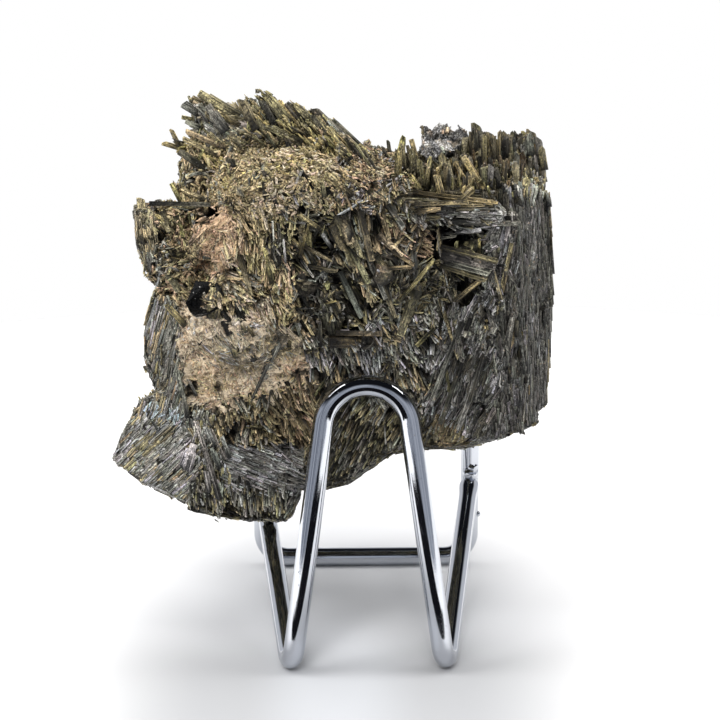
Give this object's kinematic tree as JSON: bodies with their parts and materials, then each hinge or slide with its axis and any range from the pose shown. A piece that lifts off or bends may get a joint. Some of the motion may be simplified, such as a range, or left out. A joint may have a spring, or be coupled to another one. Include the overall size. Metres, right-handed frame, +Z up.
{
  "type": "epidote specimen on a wire stand",
  "caption": "Intergrown mass of prismatic epidote crystals resting in a bent wire display stand with a low front loop and a tall rear hoop.",
  "frame": {"origin": "middle of the footprint's bounding box, on the table the stand rests on", "axes": "+Z up, -Y towards the viewer of the specimen's crystal side, +X to that viewer's right"},
  "size_m": [0.0843, 0.0566, 0.1064],
  "materials": {
    "epidote": "satin, crystal faces glossy",
    "bright_wire": "polished"
  },
  "bodies": {
    "root": {"epidote": "epidote", "front_wire": "bright_wire", "rear_wire": "bright_wire"}
  },
  "joints": []
}
